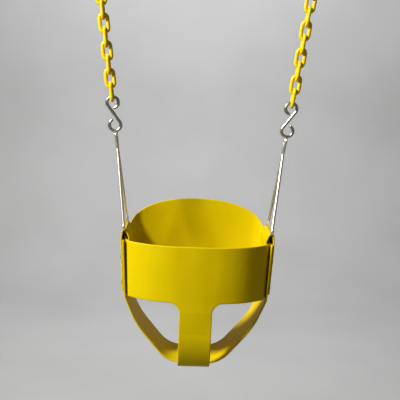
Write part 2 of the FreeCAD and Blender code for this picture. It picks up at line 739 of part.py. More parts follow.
def cut(label, base, tool):
    made = DOC.addObject("Part::Cut", label)
    made.Label = label
    made.Base = base
    made.Tool = tool
    return made


def rivet_set(name, places, grip, washer_side):
    """Rivets, washers and drills at places; local Z runs from the head's seat through the layers."""
    rivets, washers, drills = [], [], []
    for n, place in enumerate(places):
        def at(down):
            return place * Placement(Vector(0, 0, down), Rotation())
        head = DOC.addObject("Part::Cone", f"{name}_head_{n}")
        head.setExpression("Radius1", "Sizes.rivet_top_radius")
        head.setExpression("Radius2", "Sizes.rivet_head_radius")
        head.setExpression("Height", "Sizes.rivet_head_height")
        head.Placement = at(-size("rivet_head_height"))
        through = grip + size("washer_thick")
        shank = cylinder(f"{name}_shank_{n}", "rivet_radius", through, at(0))
        clinch = cylinder(f"{name}_clinch_{n}", "clinch_radius", 0, at(through), "clinch_height")
        rivets.append(joined("Part::MultiFuse", f"{name}_rivet_{n}", [head, shank, clinch]))
        disc = cylinder(f"{name}_disc_{n}", "washer_radius", 0, at(grip), "washer_thick")
        hole = cylinder(f"{name}_hole_{n}", "rivet_radius", grip * 3, at(-grip), None, "rivet_slack")
        washers.append(cut(f"{name}_washer_{n}", disc, hole))
        drills.append(cylinder(f"{name}_drill_{n}", "rivet_radius", grip * 3, at(-grip), None, "rivet_slack"))
    return rivets, washers, joined("Part::Compound", f"{name}_drills", drills)


def side_places(side):
    """Local Z inward from the outer face of the stack, at the rows and columns of one side's rivets."""
    sign = SIDES[side]
    inward = Rotation(Y_AXIS, -90 * sign)
    made = []
    for drop in (size("side_rivet_high"), size("side_rivet_low")):
        for along in (-size("side_rivet_front"), size("side_rivet_rear")):
            spot = Vector(sign * (size("stack_out") + 0.02), along, -drop)
            made.append(stack_frame(side) * Placement(spot, inward))
    return made


def seat_places():
    made = []
    for thick, along in ((size("front_thick"), -size("seat_rivet_front")),
                         (size("back_thick"), size("seat_rivet_rear"))):
        for sign in (-1, 1):
            under = SEAT_Z - size("layer_gap") - thick - 0.02
            made.append(Placement(Vector(sign * size("seat_rivet_half"), along, under), Rotation()))
    return made


# ---------------------------------------------------------------- spring clip
def make_clip_wire(label):
    """C-shaped wire in the XZ plane, open on the +X leg; the origin is its inner top, where the ring bears."""
    body = new_body(label)
    bend = size("clip_bend")
    middle = -size("clip_middle")
    for name, corner_alias, stub_alias, start, end in (
            ("upper", "clip_top_bend", "tip_stub", 0, 180), ("lower", "clip_low_bend", "heel_stub", 180, 360)):
        corner = -size(corner_alias)
        stub = -size(stub_alias)
        path = new_sketch(body, f"{name}_path", "XZ_Plane")
        leg = path.addGeometry(Part.LineSegment(Vector(-bend, middle, 0), Vector(-bend, corner, 0)))
        turn = path.addGeometry(arc((0, corner), bend, start, end))
        nose = path.addGeometry(Part.LineSegment(Vector(bend, corner, 0), Vector(bend, stub, 0)))
        near, far = (2, 1) if name == "upper" else (1, 2)
        path.addConstraint([
            Sketcher.Constraint("Tangent", leg, 2, turn, near),
            Sketcher.Constraint("Tangent", turn, far, nose, 1),
            Sketcher.Constraint("Vertical", leg),
            Sketcher.Constraint("Vertical", nose),
            Sketcher.Constraint("PointOnObject", turn, 3, -2)])
        bind(path, "Radius", (turn,), bend, "clip_bend")
        fix_up(path, (leg, 1), middle, "clip_middle")
        fix_up(path, (turn, 3), corner, corner_alias)
        fix_up(path, (nose, 2), stub, stub_alias)
        if name == "upper":
            level = Placement(Vector(0, 0, middle), Rotation())
            profile = new_sketch(body, "wire", "XY_Plane", level)
            profile.setExpression("AttachmentOffset.Base.z", "-Sizes.clip_middle")
            index = profile.addGeometry(Part.Circle(Vector(-bend, 0, 0), Z_AXIS, size("clip_radius")))
            profile.addConstraint(Sketcher.Constraint("PointOnObject", index, 3, -1))
            fix_across(profile, (index, 3), -bend, "clip_bend")
            bind(profile, "Radius", (index,), size("clip_radius"), "clip_radius")
        pipe(body, f"{name}_wire", profile, path)
    return body


def block(label, across, deep, tall, low_centre):
    made = DOC.addObject("Part::Box", label)
    made.setExpression("Length", across)
    made.setExpression("Width", deep)
    made.setExpression("Height", tall)
    DOC.recompute([made])
    corner = low_centre - Vector(float(made.Length) / 2, float(made.Width) / 2, 0)
    made.Placement = Placement(corner, Rotation())
    return made


def make_clip(side):
    """Clip body, gate and gate pin; the gate is on the side away from the seat and opens inward."""
    bend = size("clip_bend")
    heel = -size("heel_down")
    pin_z = heel + size("pin_rise")
    flip = Rotation(Z_AXIS, 0 if side == "right" else 180)
    place = load_line(side, 0) * Placement(Vector(0, 0, 0), flip)
    wire = make_clip_wire(f"clip_wire_{side}")
    tip = block(f"tip_tongue_{side}", "2 * Sizes.tongue_half", "Sizes.tongue_thick", "2 * Sizes.tongue_reach",
                Vector(bend, 0, -size("tip_stub") - size("tongue_reach")))
    root = block(f"heel_tongue_{side}", "2 * Sizes.tongue_half", "Sizes.tongue_thick",
                 "Sizes.heel_gap + Sizes.pin_rise + Sizes.tongue_half",
                 Vector(bend, 0, -size("heel_stub") - size("tongue_half")))
    turned = Rotation(X_AXIS, 90)

    def cross(reach):
        return Placement(Vector(bend, reach, pin_z), turned)
    knuckle = cylinder(f"knuckle_{side}", "tongue_half", 0, cross(size("tongue_thick") / 2), "tongue_thick")
    solid = joined("Part::MultiFuse", f"clip_solid_{side}", [wire, tip, root, knuckle])
    bore = cylinder(f"clip_bore_{side}", "pin_radius", 20, cross(10), None, "pin_fit")
    clip = cut(f"clip_{side}", solid, bore)

    rod = cylinder(f"gate_rod_{side}", "gate_radius", 0, Placement(Vector(bend, 0, heel), Rotation()),
                   "gate_length")
    slots = [block(f"gate_slot_{name}_{side}", "4 * Sizes.gate_radius", "Sizes.gate_slot",
                   "2 * Sizes.gate_slot_depth", Vector(bend, 0, end - size("gate_slot_depth")))
             for name, end in (("heel", heel), ("tip", -size("gate_top")))]
    hole = cylinder(f"gate_bore_{side}", "pin_radius", 20, cross(10), None, "pin_slack")
    gate = cut(f"clip_gate_{side}", rod, joined("Part::Compound", f"gate_cuts_{side}", slots + [hole]))

    reach = size("gate_radius") + size("pin_slack")
    stem = cylinder(f"pin_stem_{side}", "pin_radius", 2 * reach, cross(reach))
    ends = [cylinder(f"pin_end_{n}_{side}", "pin_head_radius", 0, cross(start), "pin_head_thick")
            for n, start in enumerate((reach + size("pin_head_thick"), -reach))]
    pin = joined("Part::MultiFuse", f"clip_pin_{side}", [stem] + ends)
    for made in (clip, gate, pin):
        made.Placement = place
    return {f"clip_{side}": clip, f"clip_gate_{side}": gate, f"clip_pin_{side}": pin}


# ---------------------------------------------------------------- the whole swing
def build():
    nodes = {}
    grip = size("stack_out") - size("stack_in") + 0.04
    side_drills = {}
    for side in SIDES:
        rivets, washers, side_drills[side] = rivet_set(f"side_{side}", side_places(side), grip, side)
        nodes[f"side_rivets_{side}"] = joined("Part::Compound", f"side_rivets_{side}", rivets)
        nodes[f"side_washers_{side}"] = joined("Part::Compound", f"side_washers_{side}", washers)
    rivets, washers, drills = [], [], []
    spots = seat_places()
    for name, pair, layer in (("front", spots[:2], "front_thick"), ("back", spots[2:], "back_thick")):
        depth = size(layer) + size("layer_gap") + size("seat_strap_thick") + 0.04
        made = rivet_set(f"seat_{name}", pair, depth, None)
        rivets += made[0]
        washers += made[1]
        drills.append(made[2])
    nodes["seat_rivets"] = joined("Part::Compound", "seat_rivets", rivets)
    nodes["seat_washers"] = joined("Part::Compound", "seat_washers", washers)

    every_drill = joined("Part::Compound", "drills", [side_drills["left"], side_drills["right"]] + drills)
    nodes["front_panel"] = cut("front_panel", make_front_blank(), every_drill)
    nodes["back_panel"] = cut("back_panel", make_back_blank(), every_drill)
    nodes["seat_strap"] = cut("seat_strap", make_seat_strap("seat_strap_blank"), every_drill)
    for side in SIDES:
        blank = make_side_strap(f"side_strap_blank_{side}", side)
        nodes[f"side_strap_{side}"] = cut(f"side_strap_{side}", blank, side_drills[side])
        nodes[f"triangle_{side}"] = make_triangle(f"triangle_{side}", load_line(side, APEX))
        mirror = Placement(Vector(0, 0, 0), Rotation(Z_AXIS, 0 if side == "left" else 180))
        middle = (HOOK_TOP + HOOK_BOTTOM) / 2
        nodes[f"s_hook_{side}"] = make_s_hook(f"s_hook_{side}", load_line(side, middle) * mirror)
        for number in range(1, LINKS + 1):
            down = TOP_LINK + (LINKS - number) * PITCH + size("link_span") / 2
            quarter = Placement(Vector(0, 0, 0), Rotation(Z_AXIS, 90 if number % 2 else 0))
            label = f"chain_link_{side}_{number}"
            nodes[label] = make_link(label, load_line(side, down) * quarter)
        nodes.update(make_clip(side))
    DOC.recompute()
    return nodes


def check():
    for made in DOC.Objects:
        if "Invalid" in made.State or "Error" in made.State:
            raise RuntimeError(f"{made.Label}: {made.State}")


def export(nodes):
    os.makedirs("parts", exist_ok=True)
    for label, made in nodes.items():
        if made.Shape.isNull() or not made.Shape.isValid():
            raise RuntimeError(f"{label}: shape isn't valid")
        made.Shape.exportStep(f"parts/{label}.step")
    print(len(nodes), "parts")


NODES = build()
check()
export(NODES)
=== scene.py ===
"""Looks of a toddler bucket swing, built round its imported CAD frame.

Metres, in the same frame as the CAD. X runs left to right, Y from the front panel to the back, Z up.
Colours are linear. Each group of functions is followed by the calls that make its pieces.
"""
import math

import bmesh
import bpy
from mathutils import Matrix, Vector, noise


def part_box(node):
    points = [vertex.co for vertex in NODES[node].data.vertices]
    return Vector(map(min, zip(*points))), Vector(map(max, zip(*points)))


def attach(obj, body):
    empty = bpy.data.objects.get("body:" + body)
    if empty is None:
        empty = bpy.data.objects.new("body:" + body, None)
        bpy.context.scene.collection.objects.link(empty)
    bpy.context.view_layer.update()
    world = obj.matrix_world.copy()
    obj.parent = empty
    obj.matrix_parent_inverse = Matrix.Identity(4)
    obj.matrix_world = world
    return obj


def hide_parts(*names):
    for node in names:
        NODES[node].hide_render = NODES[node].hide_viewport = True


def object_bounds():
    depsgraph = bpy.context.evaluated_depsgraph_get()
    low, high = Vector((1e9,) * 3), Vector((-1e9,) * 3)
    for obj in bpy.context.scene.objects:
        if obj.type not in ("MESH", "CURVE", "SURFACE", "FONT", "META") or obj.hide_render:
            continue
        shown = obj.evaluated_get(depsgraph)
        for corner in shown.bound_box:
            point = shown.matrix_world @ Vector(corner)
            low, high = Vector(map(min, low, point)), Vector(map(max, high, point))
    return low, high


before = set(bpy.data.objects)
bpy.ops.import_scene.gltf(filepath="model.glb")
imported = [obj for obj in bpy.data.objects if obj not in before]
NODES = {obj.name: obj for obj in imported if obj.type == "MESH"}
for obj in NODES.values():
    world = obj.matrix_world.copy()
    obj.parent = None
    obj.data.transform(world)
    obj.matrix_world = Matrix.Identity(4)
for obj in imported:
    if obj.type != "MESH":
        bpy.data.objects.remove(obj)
CAD_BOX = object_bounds()
SIDES = {"left": -1, "right": 1}
MM = 0.001
FORE_AFT = Vector((0, 1, 0))
UP = Vector((0, 0, 1))

LINKS_A_SIDE = 9
WELDED_POINTS = 1e-6

# sheet: (place on the mottle, colour)
SHEET_MOTTLE = [(0.25, (0.575, 0.423, 0.0006)), (0.5, (0.605, 0.452, 0.0008)), (0.8, (0.63, 0.476, 0.0012))]
# paler rim colour: partly rubbing, partly a painted highlight along the rims
SHEET_RUBBED_AND_RIM_HIGHLIGHT = (0.84, 0.70, 0.12)
SHEET_DUST = (0.39, 0.30, 0.045)
SHEET_GLOSS = (0.44, 0.56)
SHEET_SHINE = 0.09
SHEET_SHINE_TINT = (1.0, 0.80, 0.25, 1)
# chain coat
COAT_MOTTLE = [(0.3, (0.78, 0.555, 0.0010)), (0.6, (0.81, 0.59, 0.0015)), (0.85, (0.83, 0.62, 0.0030))]
COAT_RUBBED = (0.66, 0.46, 0.015)
COAT_GLOSS = (0.24, 0.36)
COAT_SHINE = 0.36
COAT_GLOW = 0.6
COAT_GLOW_RADIUS = (1.0, 0.7, 0.05)
COAT_GLOW_DEPTH = 3.0 * MM
# zinc: how far handling darkens it and wear brightens it, and its streaks' noise scale along each axis
ZINC_DARKER = 0.62
ZINC_BRIGHTER = 1.12
ZINC_STREAK_STRETCH = (900.0, 900.0, 45.0)

# wire and bends of the hardware, as in the CAD. Only the hook's tips differ from the CAD's 98 degrees:
# the lower one stops 8 degrees short of it, and the upper one closes 6 degrees further
LINK_WIRE = 4.2 * MM
LINK_BEND = 8.8 * MM
LINK_STRAIGHT = 10.65 * MM
HOOK_WIRE = 3.7 * MM
HOOK_BEND = 12.8 * MM
HOOK_HALF = 25.5 * MM
HOOK_LOWER_TIP = 106.0
HOOK_UPPER_TIP = 92.0
ROD_WIRE = 3.4 * MM
ROD_APEX_BEND = 9.5 * MM
ROD_CORNER_BEND = 8 * MM
WASHER_HOLE = 3.1 * MM
WASHER_REACH = 9.0 * MM
WASHER_EDGE = 0.25 * MM

# details of the visible model alone: welds (PROUD is a share of the wire), the hooks' rounded ends, broken edges
LINK_WELD_PROUD = 0.055
LINK_WELD_WIDTH = 3.2 * MM
LINK_WELD_OFFSET = 1.5 * MM
HOOK_END_TAPER = [0.72, 0.90, 0.98]
ROD_BEAD_PROUD = 0.09
ROD_BEAD_WIDTH = 1.9 * MM
ROD_BEAD_SHARE = 0.34
REAR_LEG_FROM = 0.012
CLIP_EDGE = 0.3 * MM
PIN_EDGE = 0.2 * MM
EDGE_ANGLE = 38

# how finely wires and rings are drawn
LINK_BEND_STEPS, LINK_SIDE_STEPS, LINK_AROUND = 14, 9, 20
HOOK_BEND_STEPS, HOOK_SLANT_STEPS, HOOK_AROUND = 40, 14, 22
ROD_BEND_STEPS, ROD_LEG_STEPS, ROD_AROUND = 14, 30, 22
RING_AROUND = 40

# sheets: where each may flex, and how much. A FACE is a Y, a FROM or TO is a distance from the middle in X,
# and a HEIGHT is above the seat's lowest point
EASE_IN = 0.03
FRONT_RIVETS_FROM = 0.138
FRONT_FACE = -0.07
FRONT_BAND_FACE = -0.09
FRONT_FOOT_HEIGHT = 0.085
FOOT_EASE = 0.05
BACK_FACE = 0.075
SEAT_LEG_HEIGHT = 0.150
SEAT_RIVETS_TO = 0.045
BOW = 3.2 * MM
BOW_HALF_WIDTH = 0.080
SHEET_GRID = 1.35 * MM
STRAP_GRID = 1.1 * MM
SHEET_EASING = 4

# studio
FLOOR_DROP = 1.0
CURVE_TURN = 90
FLOOR_REACH = 24.0
WALL_START = 3.5
WALL_CURVE = 1.5
WALL_CURVE_STEPS = 12
WALL_HEIGHT = 7.0
FLOOR_SHADES = [(0.3, (0.29, 0.292, 0.292)), (0.7, (0.315, 0.318, 0.318))]
FLOOR_ROUGHNESS = 0.85
# lamps on the swing: name, place from their aim, diameter, watts, colour
AIM_BELOW_MIDDLE = 0.15
LAMPS = [("key", (-2.22, -1.30, 2.02), 0.5, 203, (1.0, 0.985, 0.91)),
         ("fill", (2.6, -2.4, 0.4), 2.4, 5, (1.0, 0.62, 0.30)),
         ("top", (0.3, 0.6, 3.4), 2.4, 4, (1.0, 0.97, 0.94))]
# the wall's own lamp: places above the swing's lowest point
WALL_LAMP_PLACE, WALL_LAMP_AIM = (0.0, 2.2, 2.6), (0.0, 5.0, 0.4)
WALL_LAMP_SIZE, WALL_LAMP_POWER, WALL_LAMP_COLOUR = 3.4, 215, (0.98, 0.99, 1.0)
WORLD_COLOUR = (0.95, 0.91, 0.87, 1)
WORLD_STRENGTH = 0.11
LENS = 66.24
LENS_ASIDE, LENS_BACK, LENS_ABOVE_RIM = -0.0350, -1.6695, 0.3736
LENS_ROLL, LENS_DOWN, LENS_TWIST = -1.30, -9.76, -2.12


# ---------------------------------------------------------------- node materials
def tree_of(name):
    material = bpy.data.materials.new(name)
    material.use_nodes = True
    nodes, links = material.node_tree.nodes, material.node_tree.links
    shader = nodes["Principled BSDF"]
    return material, nodes, links, shader


def noise_node(nodes, links, place, scale, detail, rough=0.55):
    made = nodes.new("ShaderNodeTexNoise")
    made.inputs["Scale"].default_value = scale
    made.inputs["Detail"].default_value = detail
    made.inputs["Roughness"].default_value = rough
    links.new(place, made.inputs["Vector"])
    return made.outputs["Fac"]


def ramp(nodes, links, value, stops):
    """Colour ramp over value; stops are (place, colour)."""
    made = nodes.new("ShaderNodeValToRGB")
    points = made.color_ramp.elements
    while len(points) < len(stops):
        points.new(0.5)
    for point, (where, colour) in zip(points, stops):
        point.position = where
        point.color = (*colour, 1)
    links.new(value, made.inputs["Fac"])
    return made.outputs["Color"]


def spread(nodes, links, value, between, to):
    """Value between two numbers stretched to two others, and held at its ends."""
    made = nodes.new("ShaderNodeMapRange")
    for name, number in zip(("From Min", "From Max", "To Min", "To Max"), (*between, *to)):
        made.inputs[name].default_value = number
    links.new(value, made.inputs["Value"])
    return made.outputs["Result"]


def mixed(nodes, links, factor, one, other):
    """Colour between one (a socket) and other (a plain colour)."""
    made = nodes.new("ShaderNodeMix")
    made.data_type = "RGBA"
    links.new(factor, made.inputs["Factor"])
    links.new(one, made.inputs[6])
    made.inputs[7].default_value = (*other, 1)
    return made.outputs[2]


def product(nodes, links, one, other):
    made = nodes.new("ShaderNodeMath")
    made.operation = "MULTIPLY"
    links.new(one, made.inputs[0])
    links.new(other, made.inputs[1])
    return made.outputs["Value"]


def bumped(nodes, links, shader, layers):
    """Stacks bumps on the shader: layers are (height, distance in metres, strength)."""
    normal = None
    for height, distance, strength in layers:
        made = nodes.new("ShaderNodeBump")
        made.inputs["Distance"].default_value = distance
        made.inputs["Strength"].default_value = strength
        links.new(height, made.inputs["Height"])
        if normal is not None:
            links.new(normal, made.inputs["Normal"])
        normal = made.outputs["Normal"]
    links.new(normal, shader.inputs["Normal"])


def coordinates(nodes):
    return nodes.new("ShaderNodeTexCoord").outputs["Object"]


def sheet_material():
    """Moulded yellow sheet: faint mottle, satin grain, rims lightened partly as rubbing and partly as a painted
    highlight, and a thin film of dust.
    """
    material, nodes, links, shader = tree_of("moulded_yellow_sheet")
    place = coordinates(nodes)
    body = ramp(nodes, links, noise_node(nodes, links, place, scale=9.0, detail=4.0), SHEET_MOTTLE)
    geometry = nodes.new("ShaderNodeNewGeometry")
    # convex rims lightened in patches: rubbing, and a painted highlight standing in for the rims' shine
    rim = spread(nodes, links, geometry.outputs["Pointiness"], between=(0.54, 0.63), to=(0.0, 1.0))
    rubbing = noise_node(nodes, links, place, scale=60.0, detail=4.0)
    rub_and_highlight_patches = spread(nodes, links, rubbing, between=(0.35, 0.65), to=(0.35, 0.95))
    body = mixed(nodes, links, product(nodes, links, rim, rub_and_highlight_patches), body, SHEET_RUBBED_AND_RIM_HIGHLIGHT)
    dust = noise_node(nodes, links, place, scale=22.0, detail=6.0, rough=0.7)
    film = spread(nodes, links, dust, between=(0.58, 0.82), to=(0.0, 0.16))
    body = mixed(nodes, links, film, body, SHEET_DUST)
    links.new(body, shader.inputs["Base Color"])
    gloss = noise_node(nodes, links, place, scale=35.0, detail=5.0, rough=0.6)
    links.new(spread(nodes, links, gloss, between=(0.3, 0.7), to=SHEET_GLOSS), shader.inputs["Roughness"])
    shader.inputs["Specular IOR Level"].default_value = SHEET_SHINE
    shader.inputs["Specular Tint"].default_value = SHEET_SHINE_TINT
    grain = noise_node(nodes, links, place, scale=1400.0, detail=2.0)
    pull = noise_node(nodes, links, place, scale=26.0, detail=2.0)
    bumped(nodes, links, shader, [(pull, 0.9 * MM, 0.25), (grain, 0.05 * MM, 0.35)])
    return material


def coat_material():
    """Thick dipped coat on the chain: glossier than the sheet, a little see-through, with the dip's slow runs."""
    material, nodes, links, shader = tree_of("dipped_yellow_coat")
    place = coordinates(nodes)
    body = ramp(nodes, links, noise_node(nodes, links, place, scale=40.0, detail=3.0), COAT_MOTTLE)
    rubbing = noise_node(nodes, links, place, scale=120.0, detail=5.0, rough=0.7)
    rubbed = spread(nodes, links, rubbing, between=(0.62, 0.8), to=(0.0, 0.35))
    body = mixed(nodes, links, rubbed, body, COAT_RUBBED)
    links.new(body, shader.inputs["Base Color"])
    shader.inputs["Subsurface Weight"].default_value = COAT_GLOW
    shader.inputs["Subsurface Radius"].default_value = COAT_GLOW_RADIUS
    shader.inputs["Subsurface Scale"].default_value = COAT_GLOW_DEPTH
    gloss = noise_node(nodes, links, place, scale=90.0, detail=3.0)
    links.new(spread(nodes, links, gloss, between=(0.3, 0.7), to=COAT_GLOSS), shader.inputs["Roughness"])
    shader.inputs["Specular IOR Level"].default_value = COAT_SHINE
    runs = noise_node(nodes, links, place, scale=210.0, detail=2.0)
    bumped(nodes, links, shader, [(runs, 0.6 * MM, 0.3)])
    return material


def zinc_material(name, tint, low, high):
    """Zinc plate: soft streaks, tiny pits and handling marks, darker and up to roughness high; clean, it is low."""
    material, nodes, links, shader = tree_of(name)
    place = coordinates(nodes)
    stretch = nodes.new("ShaderNodeMapping")
    stretch.inputs["Scale"].default_value = ZINC_STREAK_STRETCH
    links.new(place, stretch.inputs["Vector"])
    streak = noise_node(nodes, links, stretch.outputs["Vector"], scale=1.0, detail=3.0)
    cloud = noise_node(nodes, links, place, scale=55.0, detail=5.0, rough=0.65)
    dark = tuple(channel * ZINC_DARKER for channel in tint)
    bright = tuple(min(1, channel * ZINC_BRIGHTER) for channel in tint)
    links.new(ramp(nodes, links, cloud, [(0.3, dark), (0.5, tint), (0.8, bright)]), shader.inputs["Base Color"])
    shader.inputs["Metallic"].default_value = 1.0
    links.new(spread(nodes, links, cloud, between=(0.3, 0.7), to=(high, low)), shader.inputs["Roughness"])
    pits = noise_node(nodes, links, place, scale=700.0, detail=2.0)
    bumped(nodes, links, shader, [(streak, 0.12 * MM, 0.3), (pits, 0.08 * MM, 0.3)])
    return material


SHEET = sheet_material()
COAT = coat_material()
# the rods' pale cream tint paints in sunlight reflected off the zinc
ZINC_ROD_PAINTED_SUNLIT = zinc_material("zinc_rod_painted_sunlit", (0.93, 0.89, 0.79), low=0.34, high=0.48)
# the hooks' darker tint is a painted reflection of dark surroundings on the zinc
ZINC_HOOK_PAINTED_DARK = zinc_material("zinc_hook_painted_dark", (0.58, 0.57, 0.53), low=0.24, high=0.40)
ZINC_CLIP = zinc_material("zinc_clip", (0.72, 0.72, 0.71), low=0.18, high=0.34)
ALLOY = zinc_material("satin_rivet", (0.78, 0.78, 0.77), low=0.28, high=0.45)


# ---------------------------------------------------------------- mesh helpers
def finished(name, mesh, material, body, nodes):
    """Makes one visible piece that stands for its CAD nodes and rides with them."""
    piece = bpy.data.objects.new(name, mesh)
    bpy.context.scene.collection.objects.link(piece)
    mesh.materials.clear()
    mesh.materials.append(material)
    mesh.polygons.foreach_set("use_smooth", [True] * len(mesh.polygons))
    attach(piece, body)
    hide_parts(*nodes)


def copied_mesh(node):
    """The node's CAD mesh, copied and set in place."""
    mesh = NODES[node].data.copy()
    mesh.transform(NODES[node].matrix_world)
    return mesh


def worked(name, mesh, add_modifiers):
    """The mesh with add_modifiers' modifiers worked in."""
    rough = bpy.data.objects.new(name + "_rough", mesh)
    bpy.context.scene.collection.objects.link(rough)
    add_modifiers(rough)
    graph = bpy.context.evaluated_depsgraph_get()
    made = bpy.data.meshes.new_from_object(rough.evaluated_get(graph), depsgraph=graph)
    bpy.data.objects.remove(rough)
    return made


def mesh_of(name, work):
    """A mesh from finished bmesh work, with its normals outward."""
    bmesh.ops.recalc_face_normals(work, faces=work.faces)
    made = bpy.data.meshes.new(name)
    work.to_mesh(made)
    work.free()
    return made


def tube(points, reach, around, closed=False):
    """Round wire along points; reach(step, angle) is its radius."""
    count = len(points)
    work = bmesh.new()
    rings = []
    side = None
    for step, point in enumerate(points):
        before = points[step - 1] if closed or step else point
        after = points[(step + 1) % count] if closed or step < count - 1 else point
        ahead = (after - before).normalized()
        if side is None:
            side = ahead.orthogonal().normalized()
        side = (side - ahead * side.dot(ahead)).normalized()
        other = ahead.cross(side)
        ring = []
        for turn in range(around):
            angle = math.tau * turn / around
            outward = side * math.cos(angle) + other * math.sin(angle)
            ring.append(work.verts.new(point + outward * reach(step, angle)))
        rings.append(ring)
    for step in range(count if closed else count - 1):
        one, two = rings[step], rings[(step + 1) % count]
        shift = 0
        if closed and step == count - 1:
            shift = min(range(around), key=lambda k: (one[0].co - two[k].co).length)
        for turn in range(around):
            work.faces.new((one[turn], one[(turn + 1) % around],
                            two[(turn + 1 + shift) % around], two[(turn + shift) % around]))
    if not closed:
        work.faces.new(rings[0][::-1])
        work.faces.new(rings[-1])
    return mesh_of("tube", work)


def arc_points(centre, radius, start, end, steps, across, up):
    """Points round centre from start to end degrees, measured from across towards up."""
    angles = [math.radians(start + (end - start) * n / steps) for n in range(steps + 1)]
    return [centre + across * (radius * math.cos(a)) + up * (radius * math.sin(a)) for a in angles]


def line_points(start, end, steps):
    """Points between start and end, without either."""
    return [start.lerp(end, n / steps) for n in range(1, steps)]


def middle(node):
    low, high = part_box(node)
    return (Vector(low) + Vector(high)) / 2


def held(share):
    """Share kept between 0 and 1."""
    return max(0.0, min(1.0, share))


def wander(place, seed):
    """Smooth random number between -1 and 1 that varies over a flat place."""
    return noise.noise(Vector((*place, seed)))


# ---------------------------------------------------------------- the bucket's sheets
SEAT_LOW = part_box("seat_strap")[0][2]


def flex_front(co):
    """Soft bow of the band and crotch strap; nothing moves where the layers are riveted together."""
    free = held((FRONT_RIVETS_FROM - abs(co.x)) / EASE_IN) * (1.0 if co.y < FRONT_FACE else 0.0)
    wave = wander((co.x * 9, co.z * 11), 3.1) * 0.9 + wander((co.x * 23, co.z * 17), 8) * 0.35
    above_foot = held((co.z - SEAT_LOW - FRONT_FOOT_HEIGHT) / FOOT_EASE)
    swell = math.cos(math.pi * min(1.0, abs(co.x) / BOW_HALF_WIDTH) / 2) ** 2
    bow = BOW * swell * above_foot if co.y < FRONT_BAND_FACE else 0.0
    return Vector((0, wave * free * MM - bow, 0))


def flex_back(co):
    """Slight waviness of the back panel, clear of its rivets."""
    free = held((co.y - BACK_FACE) / EASE_IN)
    wave = wander((co.x * 8, co.z * 10), 5.7) * 1.2 + wander((co.x * 21, co.z * 19), 2) * 0.4
    return Vector((0, wave * MM * free, 0))


def flex_seat(co):
    """Slight waviness of the seat strap between its side rivets and its middle."""
    below_leg = held((SEAT_LOW + SEAT_LEG_HEIGHT - co.z) / EASE_IN)
    free = below_leg * held((abs(co.x) - SEAT_RIVETS_TO) / EASE_IN)
    wave = wander((co.x * 14, co.y * 9), 1.3) * 0.8
    return Vector((0, 0, wave * MM * free))


def softened(name, node, flex, grid=SHEET_GRID):
    """The CAD sheet with rounded rims, as it comes from a mould, and a little free waviness."""
    def rounded(rough):
        again = rough.modifiers.new("remesh", "REMESH")
        again.mode = "VOXEL"
        again.voxel_size = grid
        ease = rough.modifiers.new("ease", "SMOOTH")
        ease.factor = 0.5
        ease.iterations = SHEET_EASING

    mesh = worked(name, copied_mesh(node), rounded)
    if flex:
        for vertex in mesh.vertices:
            vertex.co += flex(vertex.co)
    finished(name, mesh, SHEET, "bucket", [node])


softened("front_panel_sheet", "front_panel", flex_front)
softened("back_panel_sheet", "back_panel", flex_back)
softened("seat_strap_sheet", "seat_strap", flex_seat)
for side in SIDES:
    softened(f"side_strap_sheet_{side}", f"side_strap_{side}", None, STRAP_GRID)


# ---------------------------------------------------------------- rivets and washers
def loose_parts(node):
    """The points of each of a node's separate solids."""
    mesh = copied_mesh(node)
    work = bmesh.new()
    work.from_mesh(mesh)
    bmesh.ops.remove_doubles(work, verts=work.verts, dist=WELDED_POINTS)
    parts, seen = [], set()
    for first in work.verts:
        if first in seen:
            continue
        stack, found = [first], []
        seen.add(first)
        while stack:
            vertex = stack.pop()
            found.append(vertex.co.copy())
            for edge in vertex.link_edges:
                other = edge.other_vert(vertex)
                if other not in seen:
                    seen.add(other)
                    stack.append(other)
        parts.append(found)
    work.free()
    bpy.data.meshes.remove(mesh)
    return parts


def lathe(work, profile, place):
    """Adds a surface of revolution: profile is (radius, height), height along the place's local Z."""
    turns = [math.tau * n / RING_AROUND for n in range(RING_AROUND)]
    rings = []
    for radius, height in profile:
        if radius == 0:
            rings.append([work.verts.new(place @ Vector((0, 0, height)))])
            continue
        rings.append([work.verts.new(place @ Vector((radius * math.cos(turn), radius * math.sin(turn), height)))
                      for turn in turns])
    for one, two in zip(rings, rings[1:]):
        for n in range(RING_AROUND):
            corners = [one[n % len(one)], one[(n + 1) % len(one)], two[(n + 1) % len(two)], two[n % len(two)]]
            unique = [v for k, v in enumerate(corners) if v not in corners[:k]]
            if len(unique) > 2:
                work.faces.new(unique)


def rivet_places(node, axis):
    """Placement and length of each solid: local Z runs along axis from its near end to its far end."""
    made = []
    turn = axis.to_track_quat("Z", "Y").to_matrix().to_4x4()
    for points in loose_parts(node):
        centre = sum(points, Vector()) / len(points)
        along = [(p - centre).dot(axis) for p in points]
        start, end = min(along), max(along)
        across = [p - centre - axis * (p - centre).dot(axis) for p in points]
        mid = sum(across, Vector()) / len(across)
        made.append((Matrix.Translation(centre + mid + axis * start) @ turn, end - start))
    return made


def rivet_profile(length):
    """Domed head, shank, and the far end rolled over round its hollow; radius and height."""
    end = length / MM
    head = [(0, 0.0), (2.2, 0.10), (4.0, 0.45), (5.6, 1.15), (6.6, 1.95), (6.95, 2.5), (6.7, 2.6), (3.0, 2.6)]
    shank = [(3.0, end - 1.8)]
    clinch = [(4.7, end - 1.8), (5.0, end - 1.45), (4.8, end - 0.6), (3.9, end - 0.05), (2.6, end - 0.12),
              (1.7, end - 0.85), (0, end - 0.95)]
    return [(r * MM, h * MM) for r, h in head + shank + clinch]


def washer_profile(length):
    inner, outer, soft = WASHER_HOLE, WASHER_REACH, WASHER_EDGE
    return [(inner, 0.0), (outer - soft, 0.0), (outer, soft), (outer, length - soft * 1.5),
            (outer - soft * 1.5, length), (inner + soft, length), (inner, length - soft), (inner, 0.0)]


def turned_set(name, node, axis, profile_of):
    """A node's rivets or washers, each turned from profile_of(its length)."""
    work = bmesh.new()
    for place, length in rivet_places(node, axis):
        lathe(work, profile_of(length), place)
    finished(name, mesh_of(name, work), ALLOY, "bucket", [node])


